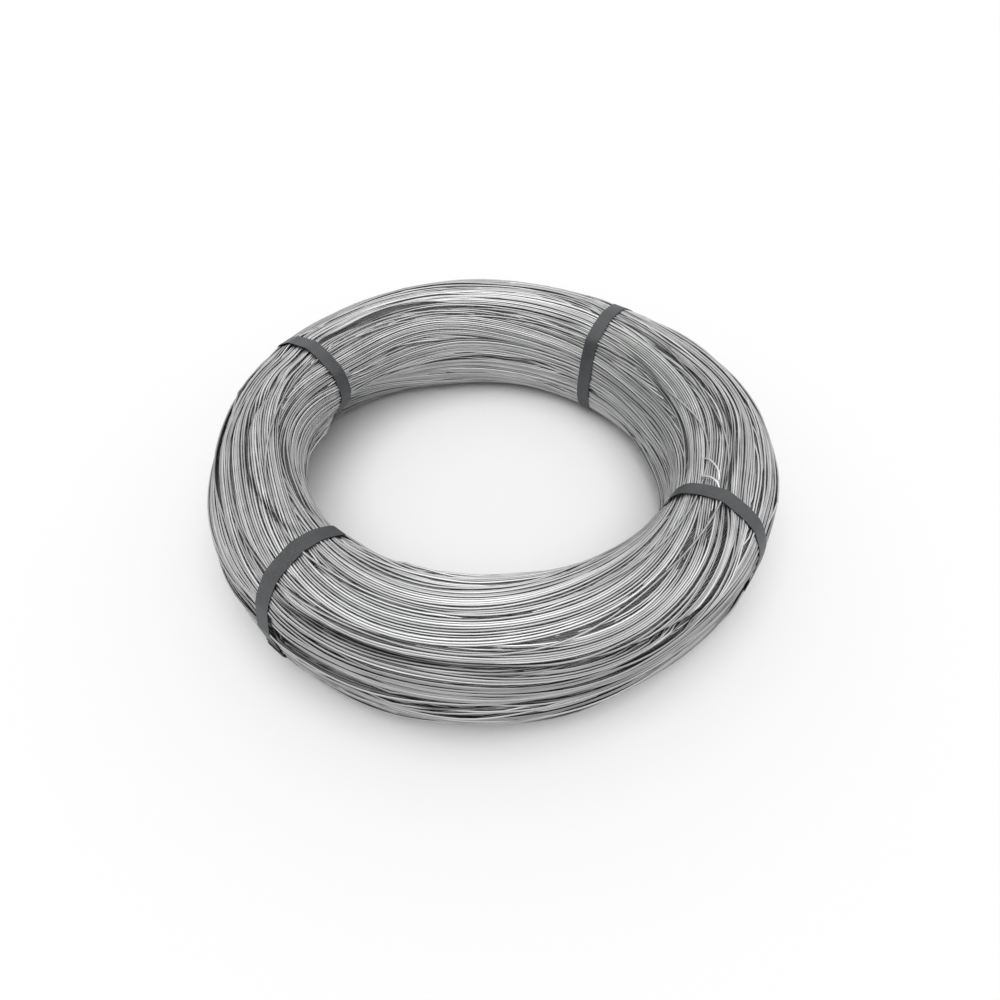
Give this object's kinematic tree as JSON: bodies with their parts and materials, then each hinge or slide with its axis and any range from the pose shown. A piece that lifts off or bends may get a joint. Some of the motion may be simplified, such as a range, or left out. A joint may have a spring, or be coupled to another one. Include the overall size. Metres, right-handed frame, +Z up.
{
  "type": "coil of galvanised steel wire",
  "caption": "Loose-wound coil of thin galvanised steel wire lying flat, held by dark flat steel straps that are closed with crimped seals low on the outside",
  "frame": {"origin": "On the coil's axis, at the level of the floor that the straps rest on", "axes": "+Z up along the coil's axis; -Y is the side that faces the viewer in the picture, with +X to the right"},
  "size_m": [0.585, 0.585, 0.1354],
  "materials": {
    "galvanised_wire": "drawn steel wire with a bright zinc coat",
    "steel_strap": "cold-rolled steel strapping with a dark grey lacquer, scuffed",
    "strap_seal": "folded steel seal, black lacquer"
  },
  "bodies": {
    "root": {"wire_coil": "galvanised_wire", "strap_front_left": "steel_strap", "seal_front_left": "strap_seal", "strap_back_left": "steel_strap", "seal_back_left": "strap_seal", "strap_back_right": "steel_strap", "seal_back_right": "strap_seal", "strap_front_right": "steel_strap", "seal_front_right": "strap_seal"}
  },
  "joints": []
}
